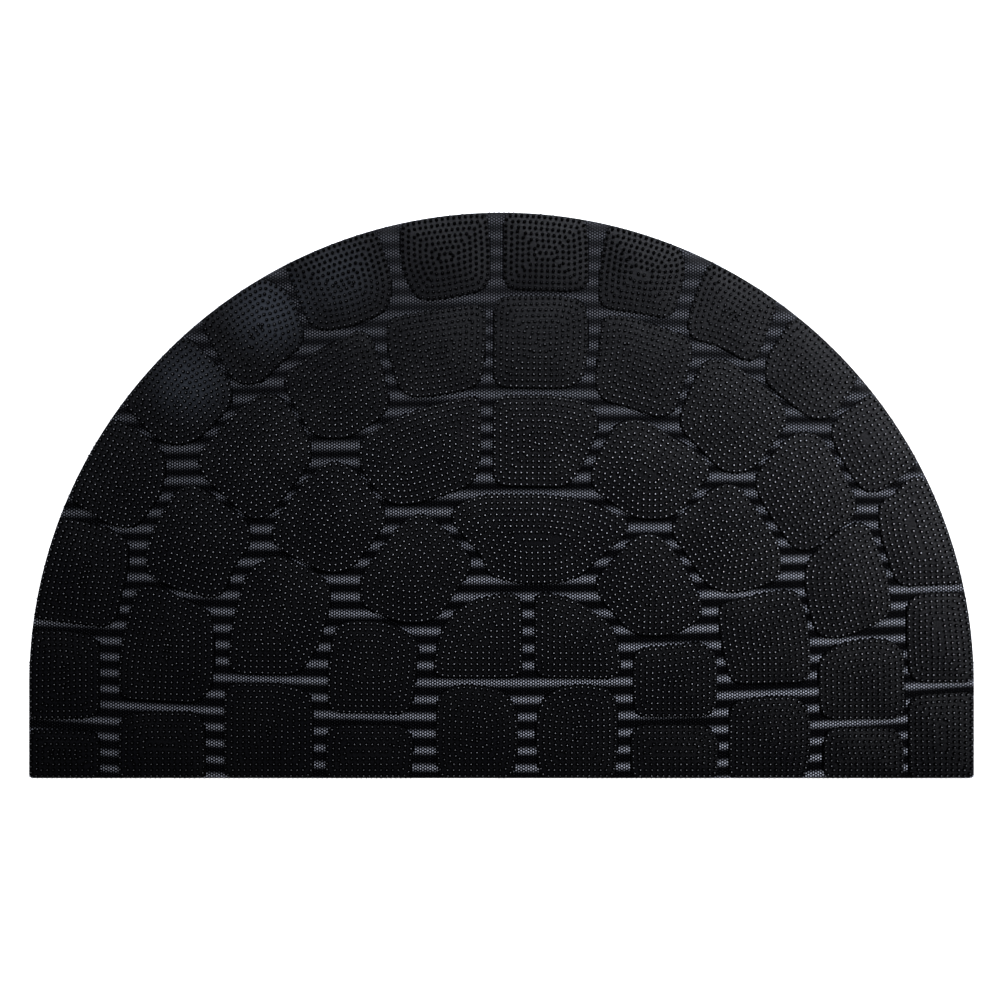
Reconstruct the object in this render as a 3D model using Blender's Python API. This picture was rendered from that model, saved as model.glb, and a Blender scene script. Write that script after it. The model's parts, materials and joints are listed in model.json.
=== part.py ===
"""Half-round rubber pin doormat with a cobblestone relief, moulded in one piece.

The mat lies in the XY plane with its straight edge along X at the low Y side and its arch towards +Y.
Its underside is at Z = 0 and the origin is in the middle of the rectangle around it.
"""

import math

import bmesh
import bpy
from mathutils import Vector

MM = 0.001

# The sheet, in millimetres.
MAT_WIDTH = 750.0
MAT_DEPTH = 449.0
ARCH_RADIUS = MAT_WIDTH / 2
ARCH_CENTRE = Vector((0.0, MAT_DEPTH - ARCH_RADIUS))
BASE_HEIGHT = 3.0
CORNER_RADIUS = 3.0
CORNER_STEPS = 4
ARCH_STEPS = 96
FOOT_CHAMFER = 0.5
LIP_CHAMFER = 0.4

# The stones, in millimetres. Their tops stand as high as the tips of the pins on them.
STONE_TOP = 8.0
STONE_RIM_GAP = 0.7

# How a stone's corners are rounded: the length cut from each side of a corner, less at the mat's edge, and
# never more than a share of the side. A turn softer than SOFT_TURN is only cut, in one step.
CORNER_CUT = 11.0
EDGE_CORNER_CUT = 4.0
CORNER_CUT_SHARE = 0.46
ROUND_STEPS = 3
SOFT_TURN = math.radians(24)
SMALLEST_STEP = 2.0

# A corner that lies less than RIM_REACH inside the arch is at the mat's edge, where a stone's outline has a
# point every RIM_STEP.
RIM_REACH = 7.0
RIM_STEP = 16.0

RUBBER_COLOUR = (0.012, 0.012, 0.014, 1)
RUBBER_ROUGHNESS = 0.55
SHARP_TURN = math.radians(40)

# How a stone rises from the joint: how far in from its foot each ring lies, as a share of the way to its
# middle, and the ring's height above the sheet's underside.
STONE_RINGS = [
    # share, height
    (0.02, 6.6),
    (0.07, 7.4),
    (0.4, 7.8),
]

# The stones of each course, from its left end to its right. A row is one stone: its corners as X and Y in
# millimetres from the middle of the straight edge, clockwise. A corner at the mat's edge is moved to lie
# STONE_RIM_GAP inside it, and the stone then follows the edge to its next corner there.
OUTER_COURSE = [
    [(-375, 0), (-375, 39), (-318, 38), (-318, 0)],
    [(-375, 47), (-373, 118), (-336, 117), (-318, 111), (-318, 48)],
    [(-370, 127), (-351, 207), (-324, 203), (-297, 192), (-294, 174), (-307, 119)],
    [(-344, 223), (-312, 287), (-291, 279), (-266, 259), (-267, 229), (-290, 197), (-312, 201)],
    [(-301, 298), (-252, 352), (-232, 336), (-214, 313), (-213, 297), (-239, 269), (-256, 263),
     (-273, 268)],
    [(-238, 360), (-189, 396), (-170, 388), (-158, 362), (-156, 343), (-173, 332), (-191, 312),
     (-211, 312)],
    [(-170, 404), (-99, 434), (-91, 411), (-86, 391), (-90, 370), (-128, 355), (-150, 355), (-162, 382)],
    [(-80, 439), (-12, 447), (-9, 428), (-9, 388), (-50, 379), (-67, 379), (-80, 405)],
    [(2, 448), (67, 442), (70, 412), (68, 388), (57, 386), (1, 388)],
    [(84, 438), (141, 421), (147, 406), (140, 377), (134, 364), (104, 370), (76, 373), (78, 410)],
    [(166, 409), (220, 378), (211, 355), (202, 331), (192, 331), (178, 341), (149, 349), (147, 362),
     (157, 395)],
    [(232, 367), (284, 320), (273, 299), (258, 284), (244, 285), (208, 314), (209, 332), (222, 352)],
    [(294, 307), (329, 257), (327, 248), (302, 228), (288, 226), (269, 251), (260, 275), (264, 284)],
    [(313, 151), (306, 176), (298, 198), (299, 220), (312, 225), (320, 238), (337, 240), (366, 154),
     (342, 154)],
    [(324, 76), (321, 100), (321, 145), (350, 148), (369, 147), (375, 76)],
    [(323, 0), (322, 66), (375, 69), (375, 0)],
]
SECOND_COURSE = [
    [(-304, 0), (-303, 49), (-287, 53), (-237, 53), (-234, 30), (-234, 0)],
    [(-304, 63), (-303, 102), (-289, 153), (-271, 153), (-251, 141), (-229, 134), (-227, 98), (-229, 72),
     (-240, 60)],
    [(-278, 159), (-283, 170), (-280, 192), (-257, 230), (-243, 234), (-199, 203), (-198, 184),
     (-211, 171), (-221, 142), (-244, 145)],
    [(-232, 235), (-240, 245), (-240, 258), (-203, 299), (-186, 307), (-171, 300), (-150, 264),
     (-151, 250), (-186, 206), (-199, 205)],
    [(-150, 270), (-163, 293), (-175, 316), (-160, 332), (-113, 356), (-104, 352), (-91, 317), (-88, 291),
     (-121, 269)],
    [(-78, 302), (-88, 325), (-93, 364), (-70, 369), (-12, 377), (-12, 345), (-16, 311), (-54, 302)],
    [(-7, 310), (-6, 382), (52, 383), (67, 377), (70, 345), (64, 315), (52, 309)],
    [(80, 299), (73, 313), (78, 345), (79, 367), (96, 368), (149, 350), (152, 335), (137, 290),
     (125, 285), (104, 294)],
    [(142, 276), (141, 288), (151, 313), (160, 332), (179, 333), (221, 301), (228, 284), (199, 243),
     (176, 241), (158, 261)],
    [(210, 212), (201, 230), (201, 241), (230, 275), (253, 274), (269, 245), (281, 222), (281, 208),
     (245, 180), (232, 181)],
    [(250, 113), (240, 146), (240, 169), (250, 183), (272, 200), (285, 204), (293, 197), (309, 150),
     (309, 129), (290, 118), (264, 110)],
    [(252, 47), (251, 95), (264, 106), (284, 111), (304, 111), (319, 103), (320, 47)],
    [(255, 0), (255, 40), (312, 41), (319, 30), (319, 0)],
]
THIRD_COURSE = [
    [(-220, 0), (-220, 76), (-170, 76), (-149, 67), (-149, 0)],
    [(-216, 83), (-217, 107), (-204, 161), (-182, 180), (-142, 161), (-134, 149), (-138, 124), (-148, 97),
     (-162, 82)],
    [(-174, 180), (-182, 188), (-181, 204), (-150, 244), (-134, 253), (-116, 246), (-92, 213), (-91, 203),
     (-119, 165), (-138, 162)],
    [(-113, 245), (-113, 267), (-100, 278), (-68, 293), (-16, 305), (-16, 252), (-22, 233), (-52, 222),
     (-76, 216), (-90, 218)],
    [(-7, 232), (-7, 304), (48, 304), (72, 297), (77, 284), (76, 272), (60, 240), (51, 231)],
    [(74, 228), (69, 240), (77, 258), (91, 283), (112, 286), (163, 253), (166, 242), (137, 206),
     (106, 205)],
    [(135, 194), (134, 202), (168, 231), (180, 235), (190, 230), (222, 184), (221, 160), (213, 154),
     (182, 146), (164, 151)],
    [(182, 75), (177, 92), (172, 122), (171, 139), (190, 142), (212, 149), (236, 150), (245, 112),
     (245, 76)],
    [(180, 0), (180, 61), (216, 66), (236, 65), (245, 52), (245, 20), (241, 0)],
]
FOURTH_COURSE = [
    [(-140, 0), (-139, 43), (-78, 43), (-69, 32), (-72, 0)],
    [(-138, 52), (-138, 92), (-131, 125), (-92, 125), (-66, 112), (-66, 95), (-70, 60), (-76, 51)],
    [(-113, 137), (-112, 162), (-82, 200), (-70, 210), (-57, 209), (-25, 178), (-23, 167), (-53, 124),
     (-80, 123)],
    [(-12, 162), (-15, 176), (-41, 204), (-38, 216), (-18, 225), (46, 225), (75, 218), (101, 205),
     (100, 195), (60, 158), (32, 153), (5, 156)],
    [(77, 144), (73, 155), (84, 171), (110, 195), (125, 194), (146, 169), (160, 137), (158, 126),
     (136, 113), (104, 113)],
    [(108, 49), (104, 58), (104, 104), (136, 105), (160, 109), (171, 99), (171, 56), (162, 49)],
    [(103, 0), (102, 43), (162, 43), (172, 33), (171, 0)],
]
CENTRE_COURSE = [
    [(-55, 80), (-53, 103), (-46, 123), (-31, 138), (-8, 146), (16, 148), (17, 80)],
    [(26, 80), (26, 149), (46, 146), (71, 136), (89, 120), (94, 103), (95, 79)],
    [(-49, 0), (-53, 20), (-51, 66), (-38, 74), (-18, 75), (3, 69), (12, 56), (14, 35), (12, 15), (8, 0)],
    [(31, 0), (27, 20), (27, 45), (30, 60), (40, 70), (55, 75), (72, 75), (88, 70), (92, 58), (92, 20),
     (90, 0)],
]
COURSES = [OUTER_COURSE, SECOND_COURSE, THIRD_COURSE, FOURTH_COURSE, CENTRE_COURSE]


def clear_scene():
    for thing in list(bpy.data.objects):
        bpy.data.objects.remove(thing)


def rubber():
    """Black moulded rubber."""
    material = bpy.data.materials.new("rubber_black")
    material.use_nodes = True
    shader = material.node_tree.nodes["Principled BSDF"]
    shader.inputs["Base Color"].default_value = RUBBER_COLOUR
    shader.inputs["Roughness"].default_value = RUBBER_ROUGHNESS
    shader.inputs["Metallic"].default_value = 0.0
    return material


def arc(centre, radius, start, end, steps):
    """Points along an arc, both its ends included."""
    points = []
    for step in range(steps + 1):
        angle = start + (end - start) * step / steps
        points.append(centre + radius * Vector((math.cos(angle), math.sin(angle))))
    return points


def mat_outline(inset):
    """The mat's edge, anticlockwise from its lower right corner: two straight sides under a half circle."""
    side = ARCH_RADIUS - inset
    corner = CORNER_RADIUS - inset
    right_centre = Vector((side - corner, CORNER_RADIUS))
    left_centre = Vector((corner - side, CORNER_RADIUS))
    right = arc(right_centre, corner, -math.pi / 2, 0, CORNER_STEPS)
    arch = arc(ARCH_CENTRE, side, 0, math.pi, ARCH_STEPS)
    left = arc(left_centre, corner, math.pi, math.pi * 3 / 2, CORNER_STEPS)
    return right + arch + left


def seat_at_rim(corner):
    """The corner's place, just inside the mat's edge if it is at the edge, and the edge that it is at."""
    x, y = corner
    inside = ARCH_RADIUS - STONE_RIM_GAP
    from_centre = Vector(corner) - ARCH_CENTRE
    if y > ARCH_CENTRE.y and from_centre.length > ARCH_RADIUS - RIM_REACH:
        return ARCH_CENTRE + inside * from_centre.normalized(), "arch"
    edge = "none"
    if y < STONE_RIM_GAP:
        y = STONE_RIM_GAP
        edge = "straight"
    if y <= ARCH_CENTRE.y and abs(x) > ARCH_RADIUS - RIM_REACH:
        x = math.copysign(inside, x)
        edge = "arch"
    return Vector((x, y)), edge


def along_rim(start, end):
    """Points between two corners at the rim, on the arch that lies STONE_RIM_GAP inside the mat's edge."""
    inside = ARCH_RADIUS - STONE_RIM_GAP
    first = math.atan2(max(start.y - ARCH_CENTRE.y, 0), start.x)
    last = math.atan2(max(end.y - ARCH_CENTRE.y, 0), end.x)
    steps = max(1, round(abs(last - first) * inside / RIM_STEP))
    return arc(ARCH_CENTRE, inside, first, last, steps)[1:-1]


def stone_outline(row):
    """A stone's foot: its corners rounded, and its stretch along the mat's edge bent to follow that edge."""
    seated = [seat_at_rim(corner) for corner in row]
    path = []
    for index, (corner, edge) in enumerate(seated):
        following, next_edge = seated[(index + 1) % len(seated)]
        path.append((corner, CORNER_CUT if edge == "none" else EDGE_CORNER_CUT))
        if edge == next_edge == "arch":
            path.extend((point, 0.0) for point in along_rim(corner, following))
    outline = []
    for index, (corner, most) in enumerate(path):
        before = path[index - 1][0] - corner
        after = path[(index + 1) % len(path)][0] - corner
        cut = min(most, CORNER_CUT_SHARE * min(before.length, after.length))
        start = corner + before.normalized() * cut
        end = corner + after.normalized() * cut
        steps = ROUND_STEPS if math.pi - before.angle(after) > SOFT_TURN else 1
        for step in range(steps + 1):
            share = step / steps
            point = start * (1 - share) ** 2 + corner * 2 * share * (1 - share) + end * share ** 2
            if not outline or (point - outline[-1]).length > SMALLEST_STEP:
                outline.append(point)
    if (outline[-1] - outline[0]).length < SMALLEST_STEP:
        outline.pop()
    return outline


def middle_of(points):
    """The centre of the area inside an outline."""
    area = 0.0
    middle = Vector((0.0, 0.0))
    for index, here in enumerate(points):
        following = points[(index + 1) % len(points)]
        cross = here.x * following.y - following.x * here.y
        area += cross / 2
        middle += (here + following) * cross / 6
    return middle / area


def add_ring(mesh, points, height):
    return [mesh.verts.new((p.x * MM, (p.y - MAT_DEPTH / 2) * MM, height * MM)) for p in points]


def join_rings(mesh, lower, upper):
    count = len(lower)
    for index in range(count):
        after = (index + 1) % count
        mesh.faces.new((lower[index], lower[after], upper[after], upper[index]))


def add_stone(mesh, row):
    """A stone's sides and domed top, open below. Returns the ring of its foot."""
    outline = stone_outline(row)
    middle = middle_of(outline)
    foot = add_ring(mesh, outline, BASE_HEIGHT)
    lower = foot
    for share, height in STONE_RINGS:
        upper = add_ring(mesh, [p.lerp(middle, share) for p in outline], height)
        join_rings(mesh, lower, upper)
        lower = upper
    crown = add_ring(mesh, [middle], STONE_TOP)[0]
    for index, corner in enumerate(lower):
        mesh.faces.new((corner, lower[(index + 1) % len(lower)], crown))
    return foot


def ring_edges(mesh, ring):
    return [mesh.edges.get((ring[index - 1], ring[index])) for index in range(len(ring))]


def build_mat():
    """One closed body: the sheet with its chamfered edge, and the stones standing on the sheet's top."""
    mesh = bmesh.new()
    rings = [
        add_ring(mesh, mat_outline(FOOT_CHAMFER), 0.0),
        add_ring(mesh, mat_outline(0.0), FOOT_CHAMFER),
        add_ring(mesh, mat_outline(0.0), BASE_HEIGHT - LIP_CHAMFER),
        add_ring(mesh, mat_outline(LIP_CHAMFER), BASE_HEIGHT),
    ]
    for lower, upper in zip(rings, rings[1:]):
        join_rings(mesh, lower, upper)
    mesh.faces.new(rings[0])
    joint_edges = ring_edges(mesh, rings[-1])
    for course in COURSES:
        for row in course:
            joint_edges += ring_edges(mesh, add_stone(mesh, row))
    bmesh.ops.triangle_fill(mesh, use_beauty=True, edges=joint_edges, normal=(0, 0, 1))
    bmesh.ops.recalc_face_normals(mesh, faces=mesh.faces)
    data = bpy.data.meshes.new("mat")
    mesh.to_mesh(data)
    mesh.free()
    mat = bpy.data.objects.new("mat", data)
    bpy.context.scene.collection.objects.link(mat)
    data.materials.append(rubber())
    data.shade_smooth()
    data.set_sharp_from_angle(angle=SHARP_TURN)
    return mat


clear_scene()
build_mat()
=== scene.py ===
# %% [markdown]
# # A half-round rubber pin mat
#
# The object is a doormat moulded from black rubber in one shot. A thin half-round sheet carries forty-nine
# cobblestones, every stone is covered with short pins that scrape a shoe clean, and the joints between the
# stones have a floor of very fine pimples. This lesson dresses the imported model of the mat: it reads the
# stones' outlines from that model and builds the fine surface on them.
#
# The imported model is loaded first, because the mat's size and the stones' outlines are worked out from it.

import json
import math

import bmesh
import bpy
import numpy as np
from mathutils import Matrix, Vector

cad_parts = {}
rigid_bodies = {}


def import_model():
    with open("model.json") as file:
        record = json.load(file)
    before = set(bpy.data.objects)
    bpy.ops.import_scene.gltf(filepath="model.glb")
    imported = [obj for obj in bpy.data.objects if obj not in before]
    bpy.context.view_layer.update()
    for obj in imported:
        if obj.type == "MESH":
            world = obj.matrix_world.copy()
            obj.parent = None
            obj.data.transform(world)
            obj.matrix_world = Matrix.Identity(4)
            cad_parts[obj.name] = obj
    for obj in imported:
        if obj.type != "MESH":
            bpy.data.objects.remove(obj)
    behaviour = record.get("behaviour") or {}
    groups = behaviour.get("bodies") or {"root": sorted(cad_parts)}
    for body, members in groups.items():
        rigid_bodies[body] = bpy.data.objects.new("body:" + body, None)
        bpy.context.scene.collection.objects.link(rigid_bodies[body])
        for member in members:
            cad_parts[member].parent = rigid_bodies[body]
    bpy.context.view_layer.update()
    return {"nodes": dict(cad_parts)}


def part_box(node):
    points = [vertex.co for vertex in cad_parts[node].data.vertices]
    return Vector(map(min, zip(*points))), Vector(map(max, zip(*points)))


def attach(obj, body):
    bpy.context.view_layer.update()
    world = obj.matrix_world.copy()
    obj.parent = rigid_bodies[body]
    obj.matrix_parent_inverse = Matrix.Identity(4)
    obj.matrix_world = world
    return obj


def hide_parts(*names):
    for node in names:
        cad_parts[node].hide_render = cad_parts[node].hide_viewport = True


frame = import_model()
MM = 0.001
mat_low, mat_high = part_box("mat")
HALF_WIDTH = (mat_high.x - mat_low.x) / 2
ARCH_CENTRE = Vector((0, mat_high.y - HALF_WIDTH))
print("mat, mm:", [round(length / MM, 1) for length in mat_high - mat_low])

# %% [markdown]
# ## The camera
#
# The mat is seen from straight above. The lens follows from the width that the picture covers and from the
# camera's height: 36 mm of sensor see the picture's width from that height. A fairly high camera keeps the
# stones' sides out of sight, as a view from straight above does.

# %% Camera
SENSOR_WIDTH = 36.0
PICTURE_WIDTH = 793 * MM
CAMERA_HEIGHT = 1600 * MM
PICTURE_CENTRE = Vector((-1.2 * MM, -3.7 * MM))

camera_data = bpy.data.cameras.new("camera")
camera_data.sensor_width = SENSOR_WIDTH
camera_data.lens = SENSOR_WIDTH * CAMERA_HEIGHT / PICTURE_WIDTH
camera = bpy.data.objects.new("camera", camera_data)
camera.location = (*PICTURE_CENTRE, CAMERA_HEIGHT + mat_high.z / 2)
bpy.context.scene.collection.objects.link(camera)
bpy.context.scene.camera = camera
print("lens, mm:", round(camera_data.lens, 1))

# %% [markdown]
# ## Colours and nodes
#
# Paint charts and pictures give colours as hex values in sRGB, but Blender's shaders work with linear light.
# One function turns one into the other. A second function adds any node to any tree: it sets the node's
# properties, then fills its inputs with plain values, or with links where the value is another node's output.

# %% Helpers for colours and nodes
TIMES = {"operation": "MULTIPLY"}
SMOOTH_STEP = {"interpolation_type": "SMOOTHSTEP"}


def linear(hex_colour):
    """An sRGB hex colour as linear red, green and blue, with alpha 1."""
    channels = [int(hex_colour[place:place + 2], 16) / 255 for place in (1, 3, 5)]
    return [c / 12.92 if c <= 0.04045 else ((c + 0.055) / 1.055) ** 2.4 for c in channels] + [1.0]


def add_node(tree, kind, settings=None, inputs=None):
    """A new node in the tree, with its properties set and its inputs filled or linked."""
    made = tree.nodes.new(kind)
    for name, value in (settings or {}).items():
        setattr(made, name, value)
    for name, value in (inputs or {}).items():
        if isinstance(value, bpy.types.NodeSocket):
            tree.links.new(value, made.inputs[name])
        else:
            made.inputs[name].default_value = value
    return made


def link_object(name, mesh):
    """A new object that shows a mesh."""
    made = bpy.data.objects.new(name, mesh)
    bpy.context.scene.collection.objects.link(made)
    return made


print("middle grey in linear light:", round(linear("#808080")[0], 3))

# %% [markdown]
# ## The floor
#
# The mat lies on a sheet of white paper that reaches far past every side, so that its end is never in view.
# Studio paper is lit until it is quite white. Here it glows of its own accord instead, so that the lights
# only need to suit the rubber. It lies a tenth of a millimetre under the mat, so that the two never
# flicker through each other.

# %% Floor
FLOOR_REACH = 40.0
FLOOR_DROP = 0.1 * MM
FLOOR_GLOW = 0.8
PAPER_COLOUR = "#f4f4f4"
PAPER_ROUGHNESS = 0.9


def add_floor():
    """A level square of matt white paper. To the eye it has no surface, only brightness."""
    mesh = bmesh.new()
    bmesh.ops.create_grid(mesh, x_segments=1, y_segments=1, size=FLOOR_REACH)
    bmesh.ops.translate(mesh, verts=mesh.verts, vec=(0, 0, -FLOOR_DROP))
    data = bpy.data.meshes.new("floor")
    mesh.to_mesh(data)
    mesh.free()
    paper = bpy.data.materials.new("paper_white_backdrop")
    paper.use_nodes = True
    shader = paper.node_tree.nodes["Principled BSDF"]
    shader.inputs["Base Color"].default_value = linear(PAPER_COLOUR)
    shader.inputs["Roughness"].default_value = PAPER_ROUGHNESS
    shader.inputs["Specular IOR Level"].default_value = 0.0
    shader.inputs["Emission Color"].default_value = linear("#ffffff")
    shader.inputs["Emission Strength"].default_value = FLOOR_GLOW
    data.materials.append(paper)
    link_object("floor", data)


add_floor()
print("floor, m across:", 2 * FLOOR_REACH)

# %% [markdown]
# ## The light
#
# Black rubber shows what it mirrors. The room above the mat is therefore left nearly dark, so that the stones
# stay black, and the light comes from large soft panels that stand away to the sides. The largest leans in
# from beyond the arch: its reflection brushes the upper stones and fades towards the straight edge, which
# tells the eye that the stones are rounded and that the surface is rubber and not cloth. A second does the
# same from the right, and a small one from the far left. Two low panels at the left and in front stand for
# the light that comes back from the walls: they light the pale tips, but the rubber doesn't mirror them.

# %% Studio light
# Each panel: its centre in metres, its two sides in metres, its power in watts, its colour, and whether the
# rubber mirrors it.
PANELS = {
    "panel_beyond_arch": ((0.38, 1.33, 1.8), (1.8, 0.9), 48, "#eef2ff", True),
    "panel_right": ((1.55, 0.45, 1.75), (0.9, 1.3), 23, "#f4f6ff", True),
    "panel_far_left": ((-0.95, 1.05, 1.75), (0.4, 0.4), 6, "#e4ebff", True),
    "panel_left": ((-2.4, -0.1, 1.0), (1.4, 1.4), 38, "#ffffff", False),
    "panel_front": ((0.0, -2.4, 1.0), (1.8, 1.0), 38, "#ffffff", False),
}
ROOM_GLOW = 0.02


def add_panel(name, centre, sides, power, tint, mirrored):
    """A rectangular soft light that faces the middle of the mat."""
    light = bpy.data.lights.new(name, "AREA")
    light.shape = "RECTANGLE"
    light.size, light.size_y = sides
    light.energy = power
    light.color = linear(tint)[:3]
    panel = bpy.data.objects.new(name, light)
    panel.location = centre
    panel.rotation_euler = (-Vector(centre)).to_track_quat("-Z", "Y").to_euler()
    panel.visible_glossy = mirrored
    bpy.context.scene.collection.objects.link(panel)


for panel_name, panel_facts in PANELS.items():
    add_panel(panel_name, *panel_facts)

world = bpy.data.worlds.new("dim_room")
world.use_nodes = True
world.node_tree.nodes["Background"].inputs["Color"].default_value = linear("#ffffff")
world.node_tree.nodes["Background"].inputs["Strength"].default_value = ROOM_GLOW
bpy.context.scene.world = world
bpy.context.scene.view_settings.view_transform = "Standard"
print("panels:", len(PANELS))

# %% [markdown]
# ## The stones' outlines
#
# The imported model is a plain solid, but it holds every outline that is needed. The floor of the joints is
# flat, and each stone rises from a closed loop of edges in it. The loops are found as the edges that only one
# floor face has. The longest is the mat's own edge, and the others are the feet of the stones. The faces are
# taken in the mesh's own order, because an order that changed would move the pins a little from run to run.

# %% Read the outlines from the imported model
JOINT_HEIGHT = 3.0 * MM
SAME_PLACE = 0.01 * MM


def floor_loops(node):
    """The closed loops around the flat floor of the joints, as arrays of X and Y."""
    mesh = bmesh.new()
    mesh.from_mesh(node.data)
    bmesh.ops.remove_doubles(mesh, verts=mesh.verts, dist=SAME_PLACE)
    floor = [f for f in mesh.faces if all(abs(v.co.z - JOINT_HEIGHT) < SAME_PLACE for v in f.verts)]
    members = set(floor)
    follows = {}
    for face in floor:
        for corner in face.loops:
            if sum(other in members for other in corner.edge.link_faces) == 1:
                follows[corner.vert] = corner.link_loop_next.vert
    loops = []
    while follows:
        vert = next(iter(follows))
        loop = []
        while vert in follows:
            loop.append(vert.co.xy[:])
            vert = follows.pop(vert)
        loops.append(np.array(loop))
    mesh.free()
    return loops


def length_around(loop):
    """The length of a closed loop."""
    return np.linalg.norm(np.roll(loop, -1, axis=0) - loop, axis=1).sum()


outlines = sorted(floor_loops(frame["nodes"]["mat"]), key=length_around)
outlines.pop()
print("stones:", len(outlines))

# %% [markdown]
# ## Fine outlines
#
# A foot has only the points that the plain solid needs. It is walked along in even short steps, and a light
# smoothing takes the facets off its round corners. The same function later gives the rows of pins their
# places, so it also lets a loop start at a chosen point: the middle of its lowest side.

# %% Even and smooth outlines
OUTLINE_STEP = 2.0 * MM
SMOOTHING_PASSES = 3


def evenly(loop, step):
    """The loop again, as points a step apart, anticlockwise from the middle of its lowest side."""
    x, y = loop.T
    if (x * np.roll(y, -1) - np.roll(x, -1) * y).sum() < 0:
        loop = loop[::-1]
    closed = np.vstack([loop, loop[:1]])
    along = np.concatenate([[0], np.cumsum(np.linalg.norm(np.diff(closed, axis=0), axis=1))])
    count = round(along[-1] / step)
    places = np.linspace(0, along[-1], count, endpoint=False)
    points = np.column_stack([np.interp(places, along, closed[:, axis]) for axis in (0, 1)])
    middle_x = (points[:, 0].min() + points[:, 0].max()) / 2
    lower = points[:, 1] < points[:, 1].mean()
    # A point on the upper side counts as a metre further off, so the start is always on the lower side.
    start = np.argmin(np.abs(points[:, 0] - middle_x) + np.where(lower, 0, 1))
    return np.roll(points, -start, axis=0)


def smoothed(loop, passes):
    """The loop with every point drawn towards its two neighbours, as many times as there are passes."""
    for _ in range(passes):
        loop = (np.roll(loop, 1, axis=0) + 2 * loop + np.roll(loop, -1, axis=0)) / 4
    return loop


stones = [smoothed(evenly(loop, OUTLINE_STEP), SMOOTHING_PASSES) for loop in outlines]
print("points on the stones' feet:", sum(len(stone) for stone in stones))

# %% [markdown]
# ## Inside an outline
#
# Both the rounded shoulder of a stone and the rings of pins on it follow the outline at a distance. Each
# point is moved inwards, at right angles to the outline there. Where the outline bends, moved points can end
# up too close to another stretch of it, and those are dropped. What is left is the inset loop.

# %% Insets
# A point stays if it is this share of the distance or more away from every stretch of the outline.
STILL_CLEAR = 0.985


def inwards(loop):
    """At each point of an anticlockwise loop, the direction that points inside."""
    along = np.roll(loop, -1, axis=0) - np.roll(loop, 1, axis=0)
    across = np.column_stack([-along[:, 1], along[:, 0]])
    return across / np.linalg.norm(across, axis=1)[:, None]


def distance_to(loop, points):
    """How far each point is from the loop."""
    start = loop[None]
    side = np.roll(loop, -1, axis=0)[None] - start
    from_start = points[:, None] - start
    share = ((from_start * side).sum(2) / (side * side).sum(2)).clip(0, 1)
    return np.linalg.norm(from_start - share[..., None] * side, axis=2).min(1)


def inset(loop, distance):
    """The points that lie a distance inside the loop, in order around it."""
    moved = loop + inwards(loop) * distance
    return moved[distance_to(loop, moved) > distance * STILL_CLEAR]


def middle_of(loop):
    """The centre of the area inside a loop."""
    after = np.roll(loop, -1, axis=0)
    cross = loop[:, 0] * after[:, 1] - after[:, 0] * loop[:, 1]
    return ((loop + after) * cross[:, None]).sum(0) / (3 * cross.sum())


print("points of the largest stone:", len(stones[-1]), "and 20 mm in:", len(inset(stones[-1], 20 * MM)))

# %% [markdown]
# ## The edge of the sheet
#
# The sheet is a half round arch on two short straight sides, with a small radius above and below, as a mould
# leaves it. One function gives its outline at any distance in, so the rounded edge is a stack of outlines.
# A bevel would do the same on a plain sheet, but the rings also give the joints' floor its outer border.

# %% The mat's outline and rings
BASE_CORNER_RADIUS = 3.0 * MM
ARCH_STEPS = 360
CORNER_STEPS = 6

# The edge of the sheet: how far in from the outline, and how high, in millimetres.
EDGE_SECTION = [(0.5, 0.0), (0.15, 0.15), (0.0, 0.5), (0.0, 2.5), (0.12, 2.85), (0.4, 3.0)]


def mat_outline(distance):
    """The mat's edge, a distance in from its outline: two short straight sides under a half circle."""
    side = HALF_WIDTH - distance
    turn = BASE_CORNER_RADIUS - distance
    arcs = [
        # centre, radius, first and last angle, steps
        ((side - turn, mat_low.y + BASE_CORNER_RADIUS), turn, -math.pi / 2, 0, CORNER_STEPS),
        (ARCH_CENTRE, side, 0, math.pi, ARCH_STEPS),
        ((turn - side, mat_low.y + BASE_CORNER_RADIUS), turn, math.pi, math.pi * 3 / 2, CORNER_STEPS),
    ]
    points = []
    for centre, radius, first, last, steps in arcs:
        angles = np.linspace(first, last, steps + 1)
        points.append(np.column_stack([np.cos(angles), np.sin(angles)]) * radius + centre)
    return np.vstack(points)


def add_ring(mesh, loop, height):
    """New vertices along a loop, at a height in millimetres."""
    return [mesh.verts.new((x, y, height * MM)) for x, y in loop]


def bridge(mesh, lower, upper, finish=0):
    """Faces between two rings, with the finish at that place in the list of materials."""
    for index in range(len(lower)):
        face = mesh.faces.new((lower[index - 1], lower[index], upper[index], upper[index - 1]))
        face.material_index = finish


print("points around the sheet:", len(mat_outline(0.0)))

# %% [markdown]
# ## A stone
#
# Each stone rises steeply from the joint, turns over a tight shoulder, and runs up in a very flat dome. Every
# stone has that same section on an outline of its own, so the section is a short table, and mesh code lays a
# ring of vertices for each of its rows. The top has the skin's finish, and the steep side, which light hardly
# reaches, has the dull one of the pins.

# %% A stone
# A stone's shoulder: how far in from its foot, and how high, in millimetres.
SHOULDER_SECTION = [(0.0, 3.0), (0.04, 4.7), (0.14, 4.92), (0.3, 4.97), (1.4, 5.02)]

# The row of it where the side ends and the top begins.
SHOULDER_TOP = 3

# Its dome: how far in from the shoulder, as a share of the way to the middle, and how high.
DOME_SECTION = [(0.12, 5.11), (0.3, 5.25), (0.5, 5.37), (0.7, 5.45)]
CROWN_HEIGHT = 5.5

# Which finish a face of the body has, by its place in the list of the body's materials.
TOP_FINISH, SIDE_FINISH, JOINT_FINISH = range(3)


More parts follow.
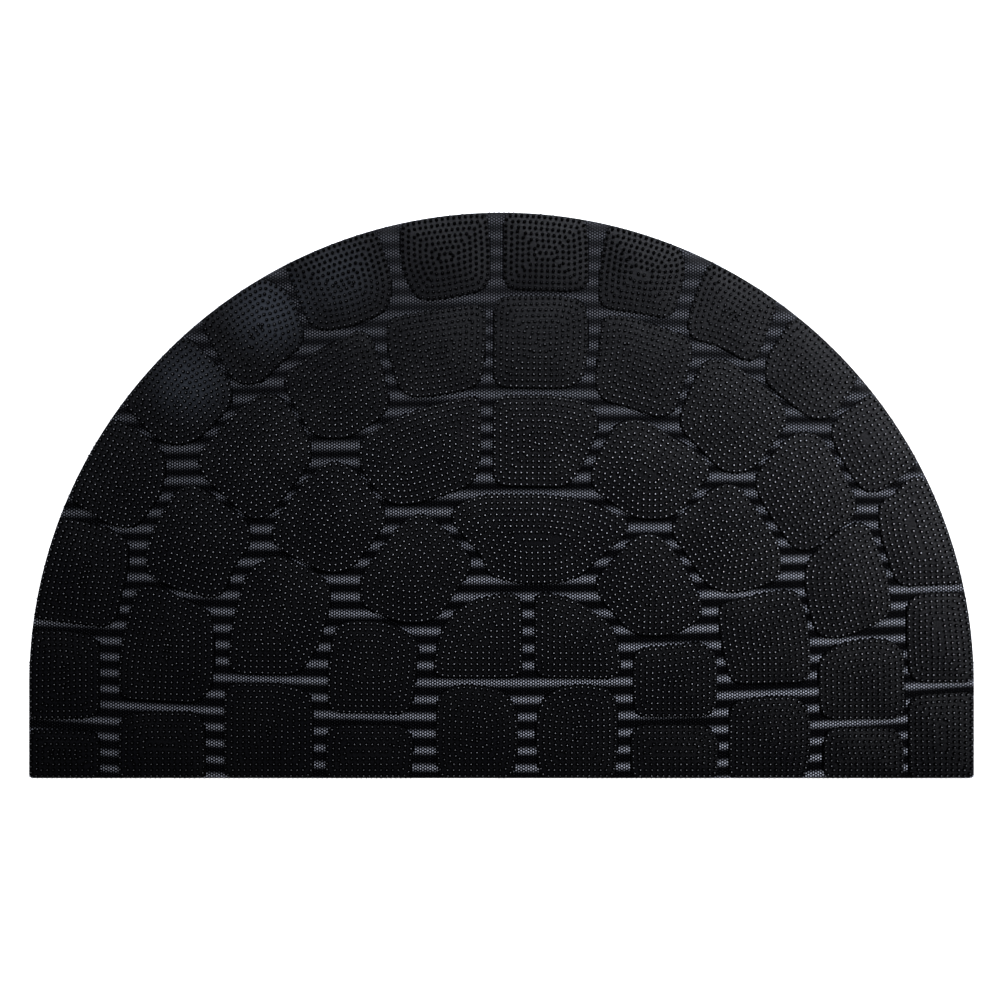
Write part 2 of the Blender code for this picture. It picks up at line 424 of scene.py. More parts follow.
def add_stone(mesh, foot):
    """A stone's shoulder and dome on its foot. Returns the ring of the foot."""
    middle = middle_of(foot)
    rings = []
    for distance, height in SHOULDER_SECTION:
        # A ring that has moved in is smoothed once, because its points bunch up in the corners.
        shoulder = smoothed(foot + inwards(foot) * distance * MM, 1 if distance else 0)
        rings.append(add_ring(mesh, shoulder, height))
    for share, height in DOME_SECTION:
        rings.append(add_ring(mesh, shoulder + (middle - shoulder) * share, height))
    for number, (lower, upper) in enumerate(zip(rings, rings[1:])):
        bridge(mesh, lower, upper, TOP_FINISH if number >= SHOULDER_TOP else SIDE_FINISH)
    crown = add_ring(mesh, [middle], CROWN_HEIGHT)[0]
    for index in range(len(rings[-1])):
        mesh.faces.new((rings[-1][index - 1], rings[-1][index], crown))
    return rings[0]


print("rings of a stone:", len(SHOULDER_SECTION) + len(DOME_SECTION))

# %% [markdown]
# ## The moulded body
#
# The sheet and the stones are one skin on the real mat, so they are one closed mesh here. The edge and the
# stones come first, and then the flat floor between them is filled in one go. The floor is also kept as an
# object of its own for a while, because the pimples are laid on it. The skin is shaded smooth, except where
# it turns sharply and along the top of each shoulder.

# %% The body of the mat
SHARP_FROM = math.radians(50)
SAME_HEIGHT = 0.001 * MM


def fill_joints(mesh, rings):
    """Faces that fill the level floor between the sheet's upper ring and the stones' feet."""
    edges = [mesh.edges.get((ring[index - 1], ring[index])) for ring in rings for index in range(len(ring))]
    filled = bmesh.ops.triangle_fill(mesh, use_beauty=True, edges=edges, normal=(0, 0, 1))
    faces = [face for face in filled["geom"] if isinstance(face, bmesh.types.BMFace)]
    for face in faces:
        face.material_index = JOINT_FINISH
    return faces


def shade_body(data):
    """Smooth shading, with sharp edges where the skin turns sharply and along the top of each shoulder."""
    data.shade_smooth()
    data.set_sharp_from_angle(angle=SHARP_FROM)
    rim_height = SHOULDER_SECTION[SHOULDER_TOP][1] * MM
    for edge in data.edges:
        if all(abs(data.vertices[end].co.z - rim_height) < SAME_HEIGHT for end in edge.vertices):
            edge.use_edge_sharp = True


def add_body():
    """The whole body, and the floor of its joints as an object of its own to lay the pimples on."""
    mesh = bmesh.new()
    rings = [add_ring(mesh, mat_outline(distance * MM), height) for distance, height in EDGE_SECTION]
    for lower, upper in zip(rings, rings[1:]):
        bridge(mesh, lower, upper, SIDE_FINISH)
    mesh.faces.new(rings[0][::-1]).material_index = SIDE_FINISH
    floor_faces = fill_joints(mesh, [rings[-1]] + [add_stone(mesh, foot) for foot in stones])
    bmesh.ops.recalc_face_normals(mesh, faces=mesh.faces)
    floor_data = bpy.data.meshes.new("joint_floor")
    floor_data.from_pydata(
        [v.co[:] for face in floor_faces for v in face.verts],
        [],
        [range(3 * index, 3 * index + 3) for index in range(len(floor_faces))],
    )
    data = bpy.data.meshes.new("mat_body")
    mesh.to_mesh(data)
    mesh.free()
    shade_body(data)
    return link_object("mat_body", data), link_object("joint_floor", floor_data)


body, joint_floor = add_body()
joint_area = sum(face.area for face in joint_floor.data.polygons)
print("body faces:", len(body.data.polygons), "joint area, cm2:", round(joint_area * 1e4, 1))

# %% [markdown]
# ## Small turned shapes
#
# A pin and a pimple are both round, so one section and a turn give either of them. Each is used thousands of
# times, so it has only 25 or 13 faces, and smooth shading makes up for the few sides. Its foot goes a
# little below the surface that it stands on, so that no gap shows where that surface curves.
#
# Real pins of this kind are about 2 mm thick. From a step away a pin and the dark place at its foot make one
# black dot, and these are drawn a little thicker to make the same dot.

# %% A pin and a pimple
# Rows of radius and height in millimetres, the foot first.
PIN_SECTION = [(1.5, -0.5), (1.3, 1.9), (0.65, 2.38), (0.0, 2.5)]
PIN_SIDES = 8
PIMPLE_SECTION = [(0.95, -0.1), (0.62, 0.36), (0.0, 0.52)]
PIMPLE_SIDES = 6


def turned(name, section, sides):
    """A closed shape turned round Z from its section.

    The attribute "tip" goes from 0 at the shoulder, or else at the foot, to 1 at the top, for the finish.
    """
    mesh = bmesh.new()
    shoulder_radius = section[-3][0] * MM
    angles = [2 * math.pi * side / sides for side in range(sides)]
    rings = []
    for radius, height in section[:-1]:
        circle = [(radius * MM * math.cos(angle), radius * MM * math.sin(angle)) for angle in angles]
        rings.append(add_ring(mesh, circle, height))
    for lower, upper in zip(rings, rings[1:]):
        bridge(mesh, lower, upper)
    top = add_ring(mesh, [(0, 0)], section[-1][1])[0]
    for index in range(sides):
        mesh.faces.new((rings[-1][index - 1], rings[-1][index], top))
    mesh.faces.new(rings[0][::-1])
    bmesh.ops.recalc_face_normals(mesh, faces=mesh.faces)
    tip = mesh.verts.layers.float.new("tip")
    for vert in mesh.verts:
        vert[tip] = max(0, 1 - vert.co.xy.length / shoulder_radius)
    data = bpy.data.meshes.new(name)
    mesh.to_mesh(data)
    mesh.free()
    data.shade_smooth()
    return link_object(name, data)


pin = turned("pin", PIN_SECTION, PIN_SIDES)
pimple = turned("pimple", PIMPLE_SECTION, PIMPLE_SIDES)
print("faces of a pin and a pimple:", len(pin.data.polygons), len(pimple.data.polygons))

# %% [markdown]
# ## Where the pins stand
#
# The pins stand in rings that follow the stone's outline, one pitch apart, and one pitch apart along each
# ring. In the middle of a stone there may be room for no more ring, but for a short row. Every ring starts at
# the middle of its lowest side, so that on a straight side the pins of neighbouring rings line up.

# %% Rows of pins
PIN_PITCH = 4.6 * MM
FIRST_ROW = 1.75 * MM
DEPTH_STEP = 0.4 * MM

# How much room the innermost ring leaves inside, and how much a row in the middle needs, in pitches.
NARROWEST_RING = 0.36
ROOM_FOR_ROW = 0.62


def depth_of(foot):
    """The distance from the stone's outline to its innermost point."""
    depth = FIRST_ROW
    while len(inset(foot, depth + DEPTH_STEP)) > 2:
        depth += DEPTH_STEP
    return depth


def middle_row(foot, depth):
    """Pins in one row along the narrow middle of a stone."""
    narrow = inset(foot, depth - DEPTH_STEP / 2)
    centre = narrow.mean(0)
    _, _, directions = np.linalg.svd(narrow - centre)
    along = (narrow - centre) @ directions[0]
    count = round((along.max() - along.min()) / PIN_PITCH) + 1
    places = (np.arange(count) - (count - 1) / 2) * PIN_PITCH
    return centre + (along.max() + along.min()) / 2 * directions[0] + places[:, None] * directions[0]


def pins_on(foot):
    """The places of all the pins on a stone, as X and Y."""
    depth = depth_of(foot)
    rings = 1 + math.floor((depth - NARROWEST_RING * PIN_PITCH - FIRST_ROW) / PIN_PITCH)
    rows = [evenly(inset(foot, FIRST_ROW + ring * PIN_PITCH), PIN_PITCH) for ring in range(rings)]
    innermost = FIRST_ROW + (rings - 1) * PIN_PITCH
    if depth - innermost > ROOM_FOR_ROW * PIN_PITCH:
        rows.append(middle_row(foot, depth))
    return np.vstack(rows)


print("pins on the largest stone:", len(pins_on(stones[-1])))

# %% [markdown]
# ## The courses
#
# The stones are laid in arches around the middle of the straight edge, as a paver lays them. The pins of one
# arch make one piece, so that no piece gets too heavy. How far a stone's middle is from the centre of the
# arch tells which course it belongs to.

# %% Pins of every course
# How deep a course is, and the courses' names from the middle outwards.
COURSE_DEPTH = 76 * MM
COURSE_NAMES = ["centre", "fourth", "third", "second", "outer"]

course_pins = {name: [] for name in COURSE_NAMES}
for foot in stones:
    from_centre = np.linalg.norm(middle_of(foot) - np.array(ARCH_CENTRE))
    course_pins[COURSE_NAMES[int(from_centre / COURSE_DEPTH)]].append(pins_on(foot))
course_pins = {name: np.vstack(places) for name, places in course_pins.items()}
print("pins:", {name: len(places) for name, places in course_pins.items()})

# %% [markdown]
# ## The finishes
#
# The mat is one material: black rubber with carbon black in it, moulded against a blasted steel mould. That
# gives a dull skin with a wide soft gloss. Rubber's index of refraction is near 1.52, and its colour is a few
# per cent of the light at most, so what the eye sees of the skin is mostly the light that it mirrors.
#
# Each finish has a grain, and each depends on where a point lies on the mat, because the painted highlights
# and the painted sheen change from side to side. What the three finishes share comes first.

# %% What the finishes share
RUBBER_IOR = 1.52

# The grain that the blasted mould leaves is about a third of a millimetre wide. On a pin or a pimple it stays
# that fine, and only softens the shine.
FINE_GRAIN_SIZE = 0.33 * MM
FINE_GRAIN_DEPTH = 0.008 * MM

# How many times finer layers are added to the grain, and how strong each is against the one before.
GRAIN_NOISE = {"Detail": 3.0, "Roughness": 0.6}


def new_material(name, gloss):
    """A material with its shader, its tree, and the place on the piece in metres."""
    material = bpy.data.materials.new(name)
    material.use_nodes = True
    tree = material.node_tree
    shader = tree.nodes["Principled BSDF"]
    shader.inputs["IOR"].default_value = RUBBER_IOR
    shader.inputs["Specular IOR Level"].default_value = gloss
    place = add_node(tree, "ShaderNodeTexCoord").outputs["Object"]
    return material, tree, shader, place


def add_grain(tree, shader, place, size, depth):
    """The grain of the blasted mould as bump, with its size and depth in metres."""
    grain = add_node(
        tree, "ShaderNodeTexNoise", None,
        {"Vector": place, "Scale": 1 / size, **GRAIN_NOISE},
    )
    bump = add_node(tree, "ShaderNodeBump", None, {"Height": grain.outputs["Fac"], "Distance": depth})
    tree.links.new(bump.outputs["Normal"], shader.inputs["Normal"])


def across_and_along(tree, place):
    """Where a point lies: -1 to 1 across the mat, and 0 at the straight edge to 1 at the top of the arch."""
    split = add_node(tree, "ShaderNodeSeparateXYZ", None, {"Vector": place}).outputs
    across = add_node(tree, "ShaderNodeMapRange", None, {
        "Value": split["X"], "From Min": mat_low.x, "From Max": mat_high.x, "To Min": -1.0, "To Max": 1.0,
    })
    along = add_node(tree, "ShaderNodeMapRange", None, {
        "Value": split["Y"], "From Min": mat_low.y, "From Max": mat_high.y,
    })
    return across.outputs["Result"], along.outputs["Result"]


print("light that rubber mirrors head on:", round(((RUBBER_IOR - 1) / (RUBBER_IOR + 1)) ** 2, 3))

# %% [markdown]
# ## The skin
#
# Two things break the evenness of a moulded skin. It is a little duller in some places than in others, in
# clouds as broad as a stone, and a few places on the upper left stones carry a faint bluish painted sheen: a
# lighter, cooler colour that stands for the reflection of a light. Both stay weak, or the mat would look
# dirty. A painted picture could hold them, but a broad noise for the clouds and the distance to a point for
# each patch of painted sheen are easier to change.

# %% Moulded skin
SKIN_GLOSS = 0.33
SKIN_COLOURS = ("#020203", "#040406")
SKIN_ROUGHNESS = (0.33, 0.27)
CLOUD_SIZE = 60 * MM
CLOUD_NOISE = {"Detail": 4.0, "Roughness": 0.55}
CLOUD_EDGES = (0.35, 0.65)

# The real grain is too fine to show in a picture of the whole mat. It is drawn about four times as coarse.
SKIN_GRAIN_SIZE = 1.3 * MM
SKIN_GRAIN_DEPTH = 0.16 * MM

# The patches of painted sheen: their middle in metres, their reach in metres, and how strong they are.
PAINTED_SHEEN = [((-0.184, 0.147), 0.045, 0.85), ((-0.247, 0.091), 0.042, 0.6), ((-0.128, 0.175), 0.042, 0.4)]
PAINTED_SHEEN_COLOUR = "#2c3036"


def moulded_skin():
    """Black rubber as a blasted mould leaves it: to the eye a deep black under a wide, soft, cool sheen."""
    material, tree, shader, place = new_material("rubber_black_moulded_skin", SKIN_GLOSS)
    clouds = add_node(
        tree, "ShaderNodeTexNoise", None,
        {"Vector": place, "Scale": 1 / CLOUD_SIZE, **CLOUD_NOISE},
    )
    patches = add_node(tree, "ShaderNodeMapRange", None, {
        "Value": clouds.outputs["Fac"], "From Min": CLOUD_EDGES[0], "From Max": CLOUD_EDGES[1],
    }).outputs["Result"]
    colour = add_node(
        tree, "ShaderNodeMix", {"data_type": "RGBA"},
        {"Factor": patches, 6: linear(SKIN_COLOURS[0]), 7: linear(SKIN_COLOURS[1])},
    ).outputs[2]
    # Each patch is painted sheen: the colour grows lighter and cooler towards its middle, as a reflection of
    # a light would.
    for middle, reach, strength in PAINTED_SHEEN:
        apart = add_node(
            tree, "ShaderNodeVectorMath", {"operation": "DISTANCE"},
            {0: place, 1: (*middle, CROWN_HEIGHT * MM)},
        )
        sheen_patch = add_node(
            tree, "ShaderNodeMapRange", SMOOTH_STEP,
            {"Value": apart.outputs["Value"], "From Min": reach, "From Max": 0.0, "To Max": strength},
        )
        colour = add_node(
            tree, "ShaderNodeMix", {"data_type": "RGBA"},
            {"Factor": sheen_patch.outputs["Result"], 6: colour, 7: linear(PAINTED_SHEEN_COLOUR)},
        ).outputs[2]
    roughness = add_node(
        tree, "ShaderNodeMapRange", None,
        {"Value": patches, "To Min": SKIN_ROUGHNESS[0], "To Max": SKIN_ROUGHNESS[1]},
    )
    tree.links.new(colour, shader.inputs["Base Color"])
    tree.links.new(roughness.outputs["Result"], shader.inputs["Roughness"])
    add_grain(tree, shader, place, SKIN_GRAIN_SIZE, SKIN_GRAIN_DEPTH)
    return material


skin_finish = moulded_skin()
print("nodes in the skin's finish:", len(skin_finish.node_tree.nodes))

# %% [markdown]
# ## The pins' finish
#
# The pins come out of drilled holes in the mould. Their sides are duller than the skin and look quite black,
# and only their tips show as small light dots. These dots are painted highlights: a pale colour on the tips
# stands for the light that the rounded tips catch. The painted highlights are brightest in the middle of the
# mat and to the right. They fade towards the left and the straight edge, and there is next to none at the top
# of the arch.
#
# No two pins catch the light alike: each carries a random number, "chance", and the shape of a pin says with
# "tip" how near its top a point is. The painted highlight is the product of all of these.

# %% Moulded pins
PIN_GLOSS = 0.008
PIN_BLACK, TIP_HIGHLIGHT_COLOUR = "#010101", "#eceef4"
PIN_ROUGHNESS, TIP_ROUGHNESS = 0.5, 0.35
TIP_TOP_EDGES = (0.58, 0.85)
LEAST_LUCK = 0.25

# Where the painted highlights grow: across the mat (0) or along it (1), from this place to that one, from how
# much to 1.
HIGHLIGHT_SPREAD = [(0, -0.9, 0.5, 0.3), (1, 0.0, 0.45, 0.25), (1, 0.9, 0.58, 0.02)]


def moulded_pins():
    """Black rubber pins with painted highlights on their tips: to the eye black dots, each with a small grey
    light on it.
    """
    material, tree, shader, place = new_material("rubber_black_moulded_pins", PIN_GLOSS)
    tip = add_node(tree, "ShaderNodeAttribute", {"attribute_name": "tip"}).outputs["Fac"]
    chance = add_node(tree, "ShaderNodeAttribute", {"attribute_name": "chance"}).outputs["Fac"]
    across, along = across_and_along(tree, place)
    tip_top = add_node(
        tree, "ShaderNodeMapRange", SMOOTH_STEP,
        {"Value": tip, "From Min": TIP_TOP_EDGES[0], "From Max": TIP_TOP_EDGES[1]},
    ).outputs["Result"]
    luck = add_node(tree, "ShaderNodeMapRange", None, {"Value": chance, "To Min": LEAST_LUCK, "To Max": 1.0})
    tip_highlight = add_node(tree, "ShaderNodeMath", TIMES, {0: tip_top, 1: luck.outputs["Result"]})
    for where, low, high, least in HIGHLIGHT_SPREAD:
        part = add_node(tree, "ShaderNodeMapRange", None, {
            "Value": (across, along)[where], "From Min": low, "From Max": high, "To Min": least,
        })
        tip_highlight = add_node(tree, "ShaderNodeMath", TIMES, {0: tip_highlight.outputs[0], 1: part.outputs["Result"]})
    # The pale colour of the tips is a painted highlight: it stands for the light that the rounded tips catch,
    # brightest in the middle and to the right.
    colour = add_node(
        tree, "ShaderNodeMix", {"data_type": "RGBA"},
        {"Factor": tip_highlight.outputs[0], 6: linear(PIN_BLACK), 7: linear(TIP_HIGHLIGHT_COLOUR)},
    )
    roughness = add_node(
        tree, "ShaderNodeMapRange", None,
        {"Value": tip_top, "To Min": PIN_ROUGHNESS, "To Max": TIP_ROUGHNESS},
    )
    tree.links.new(colour.outputs[2], shader.inputs["Base Color"])
    tree.links.new(roughness.outputs["Result"], shader.inputs["Roughness"])
    add_grain(tree, shader, place, FINE_GRAIN_SIZE, FINE_GRAIN_DEPTH)
    return material


pin_finish = moulded_pins()
print("nodes in the pins' finish:", len(pin_finish.node_tree.nodes))

# %% [markdown]
# ## The pimples' finish
#
# On the real mat the rows of pimples are so fine that the eye loses them, and sees level bars of lighter and
# darker grey instead, about as far apart as a joint is wide. The bars belong to the finish here: the tips of
# the pimples carry a painted highlight, a pale colour that stands for the light they catch, and a wave along
# the mat, slightly bent, lets it show and leaves the tips black in turn. Towards the arch the wave gets
# weaker and its dark parts lighter, so that the bars melt into an even grey.
#
# The same finish covers the flat floor under the pimples, which has no "tip" and so stays black.

# %% Moulded pimples
PIMPLE_GLOSS = 0.07
PIMPLE_BLACK, PIMPLE_HIGHLIGHT_COLOUR = "#020203", "#b2b5be"
PIMPLE_ROUGHNESS = 0.3
PIMPLE_TOP = (0.1, 0.45)

# The wave's turns: powers of the place across the mat and along it, and how many turns each adds.
BAR_TERMS = [(0, 0, 0.4), (0, 1, 33.5), (2, 0, -1.48), (1, 1, -0.33), (0, 2, -2.15), (2, 1, 3.0), (0, 3, 2.8)]

# The wave's strength, from 1 to the last value between the two places along the mat.
BAR_STRENGTH = (0.3, 0.9, 0.4)

# How low the wave is where a bar begins, at the straight edge and at the arch.
BAR_START = (-0.4, -1.1)

# Where the light grows: across the mat (0) or along it (1), from this place to that one, from how much to 1.
JOINT_LIGHT = [(0, -0.9, 0.5, 0.32), (1, 1.0, 0.45, 0.65)]


def moulded_pimples():
    """Black rubber pimples with painted highlights on their tips: to the eye fine grey dots that come and go
    in soft bars.
    """
    material, tree, shader, place = new_material("rubber_black_moulded_pimples", PIMPLE_GLOSS)
    tip = add_node(tree, "ShaderNodeAttribute", {"attribute_name": "tip"}).outputs["Fac"]
    across, along = across_and_along(tree, place)
    turns = 0.0
    for across_power, along_power, count in BAR_TERMS:
        term = count
        for factor in [across] * across_power + [along] * along_power:
            term = add_node(tree, "ShaderNodeMath", TIMES, {0: term, 1: factor}).outputs[0]
        turns = add_node(tree, "ShaderNodeMath", {"operation": "ADD"}, {0: turns, 1: term}).outputs[0]
    angle = add_node(tree, "ShaderNodeMath", TIMES, {0: turns, 1: 2 * math.pi})
    wave = add_node(tree, "ShaderNodeMath", {"operation": "COSINE"}, {0: angle.outputs[0]})
    strength = add_node(tree, "ShaderNodeMapRange", None, {
        "Value": along, "From Min": BAR_STRENGTH[0], "From Max": BAR_STRENGTH[1],
        "To Min": 1.0, "To Max": BAR_STRENGTH[2],
    })
    level = add_node(tree, "ShaderNodeMath", TIMES, {0: wave.outputs[0], 1: strength.outputs["Result"]})
    begins = add_node(
        tree, "ShaderNodeMapRange", None, {"Value": along, "To Min": BAR_START[0], "To Max": BAR_START[1]},
    )
    rise = add_node(
        tree, "ShaderNodeMapRange", None,
        {"Value": level.outputs[0], "From Min": begins.outputs["Result"]},
    )
    # The square of a steady rise in light looks like a steady rise to the eye.
    bar = add_node(tree, "ShaderNodeMath", {"operation": "POWER"}, {0: rise.outputs["Result"], 1: 2.0})
    top = add_node(
        tree, "ShaderNodeMapRange", SMOOTH_STEP,
        {"Value": tip, "From Min": PIMPLE_TOP[0], "From Max": PIMPLE_TOP[1]},
    )
    bright = add_node(tree, "ShaderNodeMath", TIMES, {0: bar.outputs[0], 1: top.outputs["Result"]})
    for where, low, high, least in JOINT_LIGHT:
        part = add_node(tree, "ShaderNodeMapRange", None, {
            "Value": (across, along)[where], "From Min": low, "From Max": high, "To Min": least,
        })
        bright = add_node(tree, "ShaderNodeMath", TIMES, {0: bright.outputs[0], 1: part.outputs["Result"]})
    # The pale colour on the pimples' tips is a painted highlight, shown in bars and brighter towards the
    # right.
    colour = add_node(
        tree, "ShaderNodeMix", {"data_type": "RGBA"},
        {"Factor": bright.outputs[0], 6: linear(PIMPLE_BLACK), 7: linear(PIMPLE_HIGHLIGHT_COLOUR)},
    )
    tree.links.new(colour.outputs[2], shader.inputs["Base Color"])
    shader.inputs["Roughness"].default_value = PIMPLE_ROUGHNESS
    add_grain(tree, shader, place, FINE_GRAIN_SIZE, FINE_GRAIN_DEPTH)
    return material


pimple_finish = moulded_pimples()
for finish in (skin_finish, pin_finish, pimple_finish):
    body.data.materials.append(finish)
print("finishes of the body:", [finish.name for finish in body.data.materials])

# %% [markdown]
# ## Trees of Geometry Nodes
#
# Geometry Nodes set out what repeats, because one tree can serve every course and every strip with other
# inputs. Each tree here begins with named inputs for its sizes. Each ends by making its instances real, which
# turns them into plain faces, and by giving them their material. The names of the nodes are Blender 4.5's.

# %% How a tree begins and ends
def new_tree(name, inputs):
    """A Geometry Nodes tree with named inputs. Returns it with its inputs and its output node."""
    tree = bpy.data.node_groups.new(name, "GeometryNodeTree")
    tree.interface.new_socket("Geometry", in_out="INPUT", socket_type="NodeSocketGeometry")
    for input_name, kind in inputs.items():
        tree.interface.new_socket(input_name, in_out="INPUT", socket_type=kind)
    tree.interface.new_socket("Geometry", in_out="OUTPUT", socket_type="NodeSocketGeometry")
    return tree, add_node(tree, "NodeGroupInput").outputs, add_node(tree, "NodeGroupOutput")


def end_tree(tree, instances, material, end):
    """Makes the instances real, gives them their material, and sends them out."""
    real = add_node(tree, "GeometryNodeRealizeInstances", None, {"Geometry": instances})
    dressed = add_node(
        tree, "GeometryNodeSetMaterial", None, {"Geometry": real.outputs[0], "Material": material},
    )
    tree.links.new(dressed.outputs[0], end.inputs[0])


print("Blender:", bpy.app.version_string)

# %% [markdown]
# ## Growing the pins
#
# The tree takes the pins' places as loose points high above the mat, drops each one straight down on the
# moulded skin with a raycast, and puts a pin there. Rubber pins come out of the mould a little uneven, so
# each leans by a degree or two, differs a little in size and is turned at random about its own axis, always
# the same way for the same seed. The random number for the brightness of its painted highlight is stored on
# the same points.

# %% Tree that plants a shape on a skin
def planting_tree():
    """The tree that plants a shape on a skin under every loose point."""
    tree, given, end = new_tree("plant_on_skin", {
        "Shape": "NodeSocketObject", "Skin": "NodeSocketObject", "Lean": "NodeSocketFloat",
        "Smallest": "NodeSocketFloat", "Seed": "NodeSocketInt", "Material": "NodeSocketMaterial",
    })
    skin = add_node(tree, "GeometryNodeObjectInfo", None, {"Object": given["Skin"]})
    shape = add_node(tree, "GeometryNodeObjectInfo", None, {"Object": given["Shape"]})
    ray = add_node(
        tree, "GeometryNodeRaycast", None,
        {"Target Geometry": skin.outputs["Geometry"], "Ray Direction": (0, 0, -1)},
    )
    seated = add_node(
        tree, "GeometryNodeSetPosition", None,
        {"Geometry": given["Geometry"], "Position": ray.outputs["Hit Position"]},
    )
    least = add_node(tree, "ShaderNodeMath", TIMES, {0: given["Lean"], 1: -1.0})
    low = add_node(tree, "ShaderNodeCombineXYZ", None, {"X": least.outputs[0], "Y": least.outputs[0]})
    high = add_node(
        tree, "ShaderNodeCombineXYZ", None, {"X": given["Lean"], "Y": given["Lean"], "Z": 2 * math.pi},
    )
    turn = add_node(
        tree, "FunctionNodeRandomValue", {"data_type": "FLOAT_VECTOR"},
        {0: low.outputs[0], 1: high.outputs[0], "Seed": given["Seed"]},
    )
    size = add_node(
        tree, "FunctionNodeRandomValue", {"data_type": "FLOAT"},
        {2: given["Smallest"], 3: 1.0, "Seed": given["Seed"]},
    )
    chance = add_node(tree, "FunctionNodeRandomValue", {"data_type": "FLOAT"}, {"Seed": given["Seed"]})
    marked = add_node(
        tree, "GeometryNodeStoreNamedAttribute", {"data_type": "FLOAT", "domain": "POINT"},
        {"Geometry": seated.outputs[0], "Name": "chance", "Value": chance.outputs[1]},
    )
    planted = add_node(
        tree, "GeometryNodeInstanceOnPoints", None,
        {"Points": marked.outputs[0], "Instance": shape.outputs["Geometry"],
         "Rotation": turn.outputs[0], "Scale": size.outputs[1]},
    )
    end_tree(tree, planted.outputs[0], given["Material"], end)
    return tree


plant = planting_tree()
print("nodes that plant:", len(plant.nodes))

# %% [markdown]
# ## From a tree to a plain piece
#
# A modifier holds the tree while it works, and its inputs are set by their identifiers. The evaluated result
# is then copied to a plain mesh and the modifier goes, because a plain mesh is what the frame and the export
# want. The pins of each course become one piece in that way, with a seed of their own.

# %% Plant the pins
PIN_LEAN = math.radians(2.0)
SMALLEST_PIN = 0.97
RAY_START = 20 * MM


def grown(name, mesh, tree, values):
    """The tree's result on a mesh as a plain object of its own."""
    source = link_object(name, mesh)
    modifier = source.modifiers.new(tree.name, "NODES")
    modifier.node_group = tree
    for item in tree.interface.items_tree:
        if item.in_out == "INPUT" and item.name in values:
            modifier[item.identifier] = values[item.name]
    bpy.context.view_layer.update()
    evaluated = source.evaluated_get(bpy.context.evaluated_depsgraph_get())
    plain = bpy.data.meshes.new_from_object(evaluated)
    source.modifiers.remove(modifier)
    source.data = plain
    plain.name = name
    return source


def loose_points(name, places, height):
    """A mesh of points alone, all at one height."""
    mesh = bpy.data.meshes.new(name)
    mesh.from_pydata([(x, y, height) for x, y in places], [], [])
    return mesh


def triangles(mesh):
    """How many triangles a mesh comes to."""
    return sum(len(polygon.vertices) - 2 for polygon in mesh.polygons)


pins = []
for seed, (course, places) in enumerate(course_pins.items(), start=1):
    points = loose_points("pins_" + course, places, RAY_START)
    pins.append(grown("pins_" + course, points, plant, {
        "Shape": pin, "Skin": body, "Lean": PIN_LEAN, "Smallest": SMALLEST_PIN, "Seed": seed,
        "Material": pin_finish,
    }))
print("triangles of the pins:", {piece.name: triangles(piece.data) for piece in pins})

# %% [markdown]
# ## A lattice on the joints' floor
#
# The pimples form a lattice of triangles: columns of dots, each shifted by half a pitch against the next. The
# tree lays out a grid of points as large as the mat and shifts it that way, and then drops every point that
# isn't on the flat floor of the joints, or isn't in the strip that is being made.

# %% Tree that fills a flat floor with a lattice
ON_FLOOR = 0.02 * MM


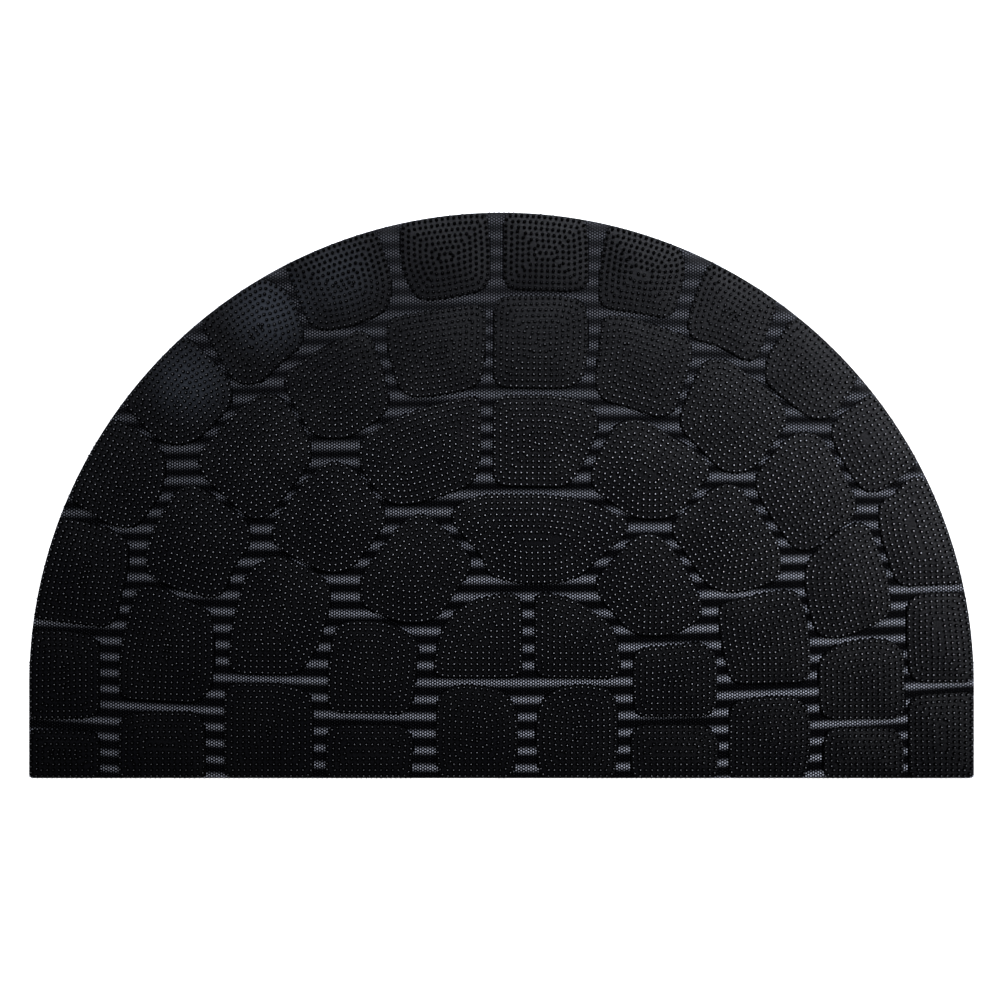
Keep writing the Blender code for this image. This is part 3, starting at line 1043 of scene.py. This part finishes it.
def lattice_tree():
    """The tree that sets out a shape in a lattice on a flat floor, in one strip of it."""
    tree, given, end = new_tree("lattice_on_floor", {
        "Shape": "NodeSocketObject", "Floor": "NodeSocketObject", "Columns": "NodeSocketInt",
        "Rows": "NodeSocketInt", "Pitch": "NodeSocketFloat", "Column Gap": "NodeSocketFloat",
        "Height": "NodeSocketFloat", "From X": "NodeSocketFloat", "To X": "NodeSocketFloat",
        "Material": "NodeSocketMaterial",
    })
    # A grid of points, one pitch apart along Y and one gap apart along X.
    sides = []
    for number, gap in (("Columns", "Column Gap"), ("Rows", "Pitch")):
        gaps = add_node(tree, "ShaderNodeMath", {"operation": "SUBTRACT"}, {0: given[number], 1: 1.0})
        sides.append(add_node(tree, "ShaderNodeMath", TIMES, {0: gaps.outputs[0], 1: given[gap]}).outputs[0])
    grid = add_node(tree, "GeometryNodeMeshGrid", None, {
        "Size X": sides[0], "Size Y": sides[1], "Vertices X": given["Columns"], "Vertices Y": given["Rows"],
    })
    # Every second column moves up by half a pitch.
    place = add_node(tree, "GeometryNodeInputPosition").outputs[0]
    x = add_node(tree, "ShaderNodeSeparateXYZ", None, {0: place}).outputs["X"]
    gap_count = add_node(tree, "ShaderNodeMath", {"operation": "DIVIDE"}, {0: x, 1: given["Column Gap"]})
    column = add_node(tree, "ShaderNodeMath", {"operation": "ROUND"}, {0: gap_count.outputs[0]})
    odd = add_node(tree, "ShaderNodeMath", {"operation": "FLOORED_MODULO"}, {0: column.outputs[0], 1: 2.0})
    pitches = add_node(tree, "ShaderNodeMath", TIMES, {0: odd.outputs[0], 1: given["Pitch"]})
    shift = add_node(tree, "ShaderNodeMath", TIMES, {0: pitches.outputs[0], 1: 0.5})
    offset = add_node(tree, "ShaderNodeCombineXYZ", None, {"Y": shift.outputs[0], "Z": given["Height"]})
    shifted = add_node(
        tree, "GeometryNodeSetPosition", None,
        {"Geometry": grid.outputs["Mesh"], "Offset": offset.outputs[0]},
    )
    # A point is dropped if it fails any one of three tests.
    floor = add_node(tree, "GeometryNodeObjectInfo", None, {"Object": given["Floor"]})
    near = add_node(
        tree, "GeometryNodeProximity", {"target_element": "FACES"}, {0: floor.outputs["Geometry"]},
    )
    dropped = 0.0
    for test, value, limit in (
        ("GREATER_THAN", near.outputs["Distance"], ON_FLOOR),
        ("LESS_THAN", x, given["From X"]),
        ("GREATER_THAN", x, given["To X"]),
    ):
        fails = add_node(tree, "ShaderNodeMath", {"operation": test}, {0: value, 1: limit})
        either = add_node(tree, "ShaderNodeMath", {"operation": "MAXIMUM"}, {0: dropped, 1: fails.outputs[0]})
        dropped = either.outputs[0]
    kept = add_node(
        tree, "GeometryNodeDeleteGeometry", {"domain": "POINT"},
        {"Geometry": shifted.outputs[0], "Selection": dropped},
    )
    shape = add_node(tree, "GeometryNodeObjectInfo", None, {"Object": given["Shape"]})
    dotted = add_node(
        tree, "GeometryNodeInstanceOnPoints", None,
        {"Points": kept.outputs[0], "Instance": shape.outputs["Geometry"]},
    )
    end_tree(tree, dotted.outputs[0], given["Material"], end)
    return tree


lattice = lattice_tree()
print("nodes of the lattice:", len(lattice.nodes))

# %% [markdown]
# ## Filling the joints
#
# The real pimples are about 1.7 mm apart, which is too fine to show in a picture of the whole mat and would
# take nearly twice as many faces. They are drawn 2.25 mm apart, as coarse as they need to be to show. A strip
# of the mat at a time keeps each piece at a modest size.

# %% Fill the joints
PIMPLE_PITCH = 2.25 * MM
COLUMN_GAP = PIMPLE_PITCH * math.sqrt(3) / 2

# The strips' sides, as shares of half the mat's width.
STRIPS = {"left": (-1.0, -0.33), "middle": (-0.33, 0.33), "right": (0.33, 1.0)}

columns = 2 * math.ceil(HALF_WIDTH / COLUMN_GAP) + 1
rows = math.ceil((mat_high.y - mat_low.y) / PIMPLE_PITCH) + 1
pimples = []
for strip, (low, high) in STRIPS.items():
    name = "joint_pimples_" + strip
    pimples.append(grown(name, bpy.data.meshes.new(name), lattice, {
        "Shape": pimple, "Floor": joint_floor, "Columns": columns, "Rows": rows, "Pitch": PIMPLE_PITCH,
        "Column Gap": COLUMN_GAP, "Height": JOINT_HEIGHT, "From X": low * HALF_WIDTH,
        "To X": high * HALF_WIDTH, "Material": pimple_finish,
    }))
print("triangles of the pimples:", {piece.name: triangles(piece.data) for piece in pimples})

# %% [markdown]
# ## Join the frame
#
# The guides are deleted, every piece rides on the mat's one body, and the moulded body takes the plain
# solid's place.

# %% Ride and finish
for guide in (pin, pimple, joint_floor):
    bpy.data.objects.remove(guide)
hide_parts("mat")
for piece in [body, *pins, *pimples]:
    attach(piece, "root")

print("triangles in all:", sum(triangles(piece.data) for piece in [body, *pins, *pimples]))
